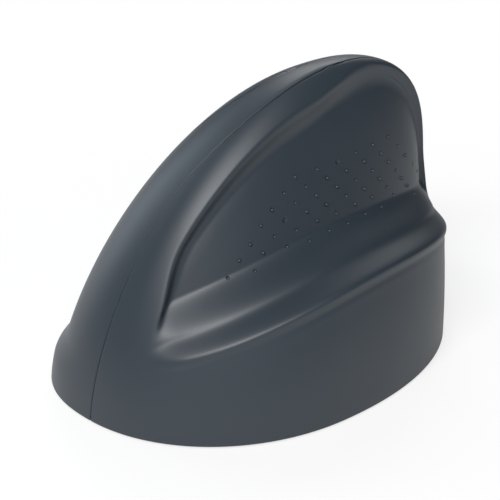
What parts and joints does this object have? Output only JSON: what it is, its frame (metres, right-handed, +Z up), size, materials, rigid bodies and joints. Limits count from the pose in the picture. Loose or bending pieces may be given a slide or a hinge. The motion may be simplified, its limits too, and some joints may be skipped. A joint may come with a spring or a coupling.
{
  "type": "vertical mouse",
  "caption": "Vertical computer mouse for the left hand: an upright fin-shaped body with a thumb ledge, two keys and a scroll wheel on the finger side.",
  "frame": {"origin": "on the table, under the middle of the body", "axes": "+X towards the thumb side, +Y towards the front, +Z up"},
  "size_m": [0.0814, 0.11, 0.078],
  "materials": {
    "shell": "fine matt dark blue-grey moulded plastic",
    "key": "fine matt dark blue-grey moulded plastic",
    "base": "matt near-black moulded plastic",
    "frame": "matt dark grey moulded plastic",
    "hub": "matt dark grey moulded plastic",
    "wheel_rubber": "matt ribbed rubber",
    "button": "matt dark grey moulded plastic",
    "glide": "smooth low-friction plastic",
    "steel": "drawn steel pin",
    "screw": "zinc-plated steel",
    "board": "green solder-resist board",
    "switch": "black moulded switch body",
    "plunger": "smooth off-white plastic",
    "chip": "black moulded chip package",
    "can": "stamped nickel-plated steel",
    "lens": "clear moulded plastic",
    "led": "tinted clear resin",
    "pad": "soft foam rubber",
    "cell": "laminated aluminium pouch",
    "ribbon": "flexible amber film"
  },
  "bodies": {
    "case": {"thumb_shell": "shell", "palm_shell": "shell", "key_hinge_pin": "steel", "key_frame": "frame", "key_board": "board", "index_switch": "switch", "middle_switch": "switch", "wheel_switch": "switch", "resolution_switch": "switch", "ribbon_cable": "ribbon", "base_plate": "base", "front_glide": "glide", "rear_glide": "glide", "case_screws": "screw", "frame_screws": "screw", "board_screws": "screw", "main_board": "board", "control_chip": "chip", "radio_crystal": "can", "optical_sensor": "chip", "sensor_lens": "lens", "sensor_led": "led", "battery_pad": "pad", "battery": "cell", "charge_port": "can", "power_switch": "switch"},
    "index_key": {"index_key": "key"},
    "middle_key": {"middle_key": "key"},
    "index_plunger": {"index_plunger": "plunger"},
    "middle_plunger": {"middle_plunger": "plunger"},
    "wheel_carrier": {"wheel_cradle": "frame", "wheel_encoder": "switch"},
    "wheel": {"wheel_hub": "hub", "wheel_tyre": "wheel_rubber", "wheel_axle": "steel"},
    "wheel_plunger": {"wheel_switch_plunger": "plunger"},
    "resolution_button": {"resolution_button": "button"},
    "resolution_plunger": {"resolution_plunger": "plunger"},
    "power_slider": {"power_slider": "button"},
    "receiver": {"receiver_cap": "button", "receiver_plug": "can"}
  },
  "joints": [
    {"name": "index_key_press", "type": "hinge", "parent": "case", "child": "index_key", "pos_m": [-0.02069, -0.00515, 0.0442], "axis": [-0.3368, 0.0594, -0.9397], "range_deg": [0, 1.6], "stiffness_Nm_per_rad": 0.8, "springref_deg": -1.15},
    {"name": "middle_key_press", "type": "hinge", "parent": "case", "child": "middle_key", "pos_m": [-0.02069, -0.00515, 0.0442], "axis": [-0.3368, 0.0594, -0.9397], "range_deg": [0, 1.6], "stiffness_Nm_per_rad": 0.8, "springref_deg": -1.15},
    {"name": "index_plunger_slide", "type": "slide", "parent": "case", "child": "index_plunger", "axis": [0.9254, -0.1632, -0.342], "range_m": [0, 0.00096]},
    {"name": "middle_plunger_slide", "type": "slide", "parent": "case", "child": "middle_plunger", "axis": [0.9254, -0.1632, -0.342], "range_m": [0, 0.00096]},
    {"name": "wheel_press", "type": "slide", "parent": "case", "child": "wheel_carrier", "axis": [0.9254, -0.1632, -0.342], "range_m": [0, 0.0005], "stiffness_N_per_m": 1500, "springref_m": -0.0005},
    {"name": "wheel_spin", "type": "hinge", "parent": "wheel_carrier", "child": "wheel", "pos_m": [-0.01561, 0.02746, 0.04444], "axis": [0.3368, -0.0594, 0.9397], "continuous": true},
    {"name": "wheel_plunger_slide", "type": "slide", "parent": "case", "child": "wheel_plunger", "axis": [0.9254, -0.1632, -0.342], "range_m": [0, 0.0005]},
    {"name": "resolution_press", "type": "slide", "parent": "case", "child": "resolution_button", "axis": [0.9254, -0.1632, -0.342], "range_m": [0, 0.0004], "stiffness_N_per_m": 1500, "springref_m": -0.0005},
    {"name": "resolution_plunger_slide", "type": "slide", "parent": "case", "child": "resolution_plunger", "axis": [0.9254, -0.1632, -0.342], "range_m": [0, 0.0004]},
    {"name": "power_slide", "type": "slide", "parent": "case", "child": "power_slider", "axis": [0, 1, 0], "range_m": [0, 0.003]},
    {"name": "receiver_slide", "type": "slide", "parent": "case", "child": "receiver", "axis": [0, 0, -1], "range_m": [0, 0.01]}
  ],
  "couplings": [
    {"joint": "index_plunger_slide", "follows": "index_key_press", "m_per_rad": 0.034},
    {"joint": "middle_plunger_slide", "follows": "middle_key_press", "m_per_rad": 0.034},
    {"joint": "wheel_plunger_slide", "follows": "wheel_press", "ratio": 1},
    {"joint": "resolution_plunger_slide", "follows": "resolution_press", "ratio": 1}
  ]
}
